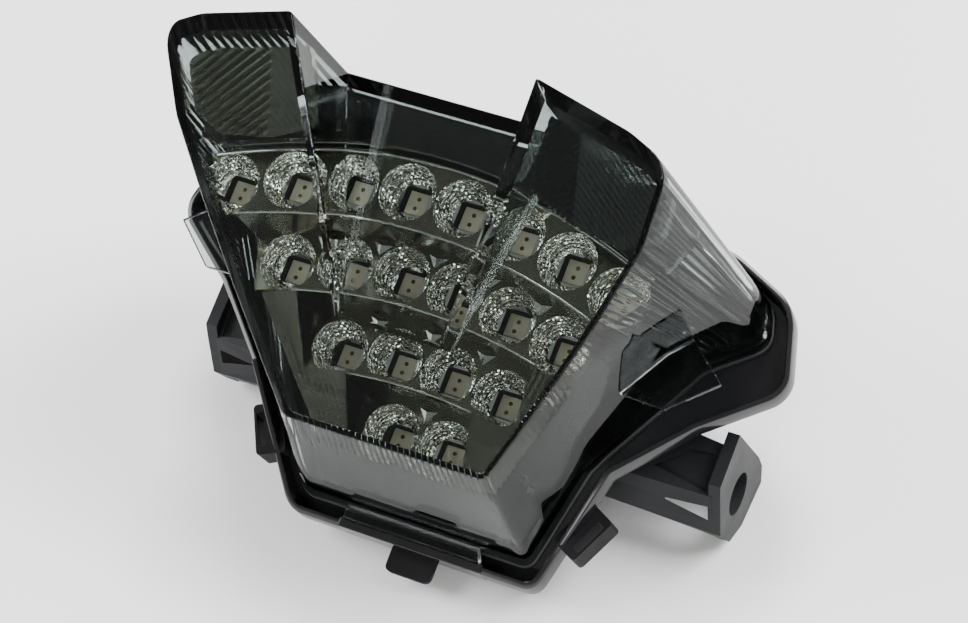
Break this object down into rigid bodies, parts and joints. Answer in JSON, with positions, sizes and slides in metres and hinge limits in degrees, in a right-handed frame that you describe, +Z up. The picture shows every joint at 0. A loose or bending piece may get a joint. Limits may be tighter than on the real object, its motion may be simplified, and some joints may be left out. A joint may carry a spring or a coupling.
{
  "type": "motorcycle tail light",
  "caption": "Smoked LED tail light for a motorcycle: a deep horned lens over stepped chrome reflector rows, in a black housing with two side mounting lugs.",
  "frame": {"origin": "middle of the lamp's footprint, on the surface it lies on", "axes": "+X across the lamp to its right lug, -Y towards the low front edge of the lens, +Z up; the lamp leans back on its two lugs and the lower edge of its housing"},
  "size_m": [0.185, 0.1076, 0.1625],
  "materials": {
    "gloss_black_plastic": "gloss black, injection moulded",
    "satin_grey_plastic": "satin dark grey",
    "smoked_lens": "clear smoked polycarbonate, polished",
    "seal_rubber": "soft black sealing bead",
    "vacuum_chrome": "vacuum-metallised plastic, mirror bright",
    "solder_mask": "solder mask on glass-fibre board",
    "led_package": "pale encapsulant",
    "zinc_screw": "zinc plated",
    "bezel_black": "gloss black",
    "horn_flute_plastic": "fluted, dark metallised",
    "gland_rubber": "matt black rubber",
    "vent_plastic": "fine matt black"
  },
  "bodies": {
    "root": {"rear_housing": "gloss_black_plastic", "mount_bracket_right": "satin_grey_plastic", "mount_bracket_left": "satin_grey_plastic", "outer_lens": "smoked_lens", "lens_seal": "seal_rubber", "stop_reflector": "vacuum_chrome", "led_board_row_1": "solder_mask", "led_board_row_2": "solder_mask", "led_board_row_3": "solder_mask", "led_board_row_4": "solder_mask", "led_row_1_1": "led_package", "led_row_1_2": "led_package", "led_row_1_3": "led_package", "led_row_1_4": "led_package", "led_row_1_5": "led_package", "led_row_1_6": "led_package", "led_row_1_7": "led_package", "led_row_1_8": "led_package", "led_row_2_1": "led_package", "led_row_2_2": "led_package", "led_row_2_3": "led_package", "led_row_2_4": "led_package", "led_row_2_5": "led_package", "led_row_2_6": "led_package", "led_row_3_1": "led_package", "led_row_3_2": "led_package", "led_row_3_3": "led_package", "led_row_3_4": "led_package", "led_row_4_1": "led_package", "led_row_4_2": "led_package", "reflector_screw_1": "zinc_screw", "reflector_screw_2": "zinc_screw", "reflector_screw_3": "zinc_screw", "reflector_screw_4": "zinc_screw", "inner_bezel": "bezel_black", "horn_reflector_right": "horn_flute_plastic", "horn_reflector_left": "horn_flute_plastic", "cable_gland": "gland_rubber", "breather_vent": "vent_plastic"}
  },
  "joints": []
}
